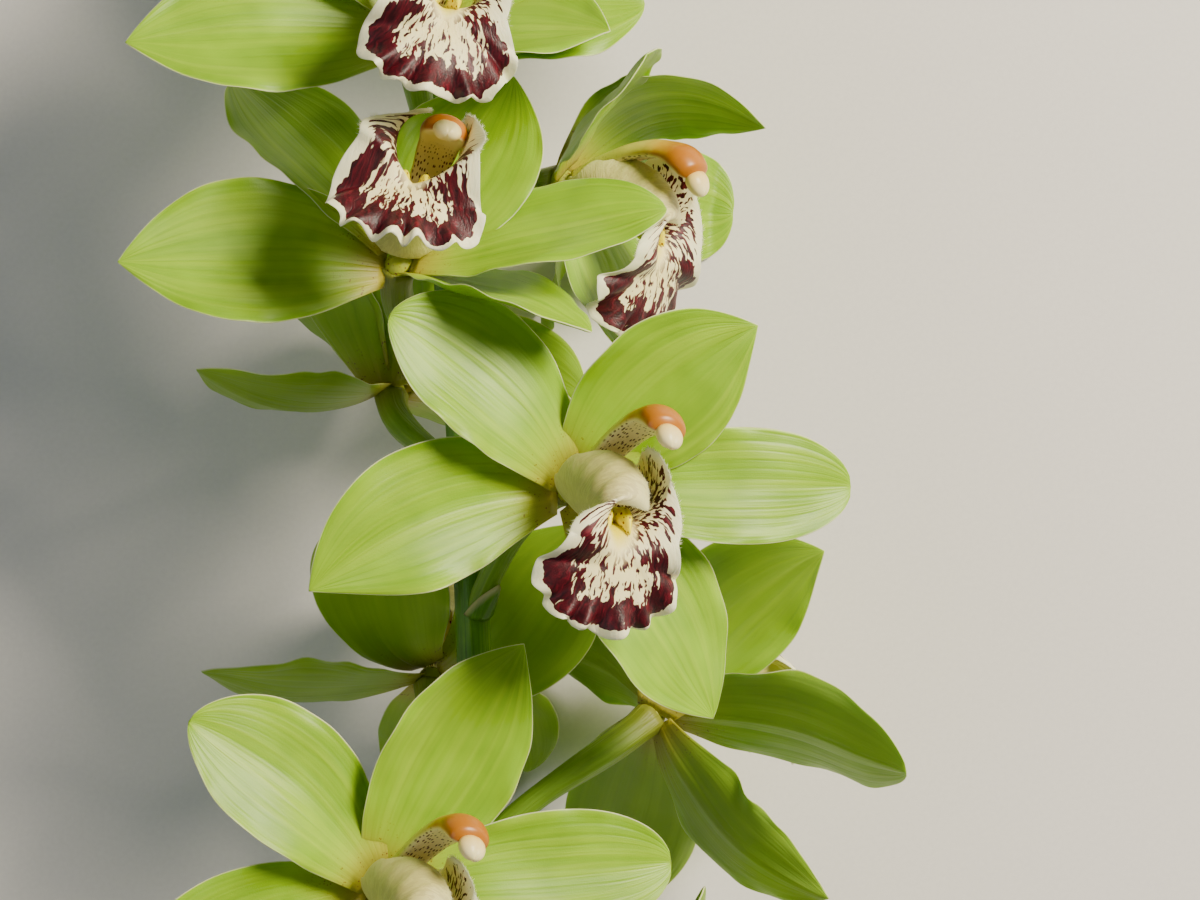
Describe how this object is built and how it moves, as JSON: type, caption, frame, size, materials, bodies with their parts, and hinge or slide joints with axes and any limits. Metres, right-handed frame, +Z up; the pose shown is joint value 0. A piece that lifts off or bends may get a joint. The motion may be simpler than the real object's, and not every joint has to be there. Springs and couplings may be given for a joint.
{
  "type": "cymbidium orchid stem",
  "caption": "Cut spike of a green cymbidium orchid with open blooms, closed buds and a bare stem, lying on its back blooms and its cut end.",
  "frame": {"origin": "on the surface that the stem lies on, under the middle of its outer box", "axes": "+Y along the spike from its cut end towards its tip, +Z up from the surface, +X across"},
  "size_m": [0.1592, 0.4918, 0.1182],
  "materials": {
    "stem_green": "satin, waxy",
    "tepal_green": "satin, waxy and slightly translucent",
    "lip_cream_maroon": "satin, with maroon streaks",
    "column_cream_orange": "satin, waxy",
    "anther_ivory": "satin",
    "bud_green": "satin, waxy"
  },
  "bodies": {
    "root": {"stem": "stem_green", "bloom_01_tepals": "tepal_green", "bloom_01_lip": "lip_cream_maroon", "bloom_01_column": "column_cream_orange", "bloom_01_anther_cap": "anther_ivory", "bloom_02_tepals": "tepal_green", "bloom_02_lip": "lip_cream_maroon", "bloom_02_column": "column_cream_orange", "bloom_02_anther_cap": "anther_ivory", "bloom_03_tepals": "tepal_green", "bloom_03_lip": "lip_cream_maroon", "bloom_03_column": "column_cream_orange", "bloom_03_anther_cap": "anther_ivory", "bloom_04_tepals": "tepal_green", "bloom_04_lip": "lip_cream_maroon", "bloom_04_column": "column_cream_orange", "bloom_04_anther_cap": "anther_ivory", "bloom_05_tepals": "tepal_green", "bloom_05_lip": "lip_cream_maroon", "bloom_05_column": "column_cream_orange", "bloom_05_anther_cap": "anther_ivory", "bloom_06_tepals": "tepal_green", "bloom_06_lip": "lip_cream_maroon", "bloom_06_column": "column_cream_orange", "bloom_06_anther_cap": "anther_ivory", "bloom_07_tepals": "tepal_green", "bloom_07_lip": "lip_cream_maroon", "bloom_07_column": "column_cream_orange", "bloom_07_anther_cap": "anther_ivory", "bloom_08_tepals": "tepal_green", "bloom_08_lip": "lip_cream_maroon", "bloom_08_column": "column_cream_orange", "bloom_08_anther_cap": "anther_ivory", "bloom_09_tepals": "tepal_green", "bloom_09_lip": "lip_cream_maroon", "bloom_09_column": "column_cream_orange", "bloom_09_anther_cap": "anther_ivory", "bloom_10_tepals": "tepal_green", "bloom_10_lip": "lip_cream_maroon", "bloom_10_column": "column_cream_orange", "bloom_10_anther_cap": "anther_ivory", "bud_1": "bud_green", "bud_2": "bud_green", "bud_3": "bud_green"}
  },
  "joints": []
}
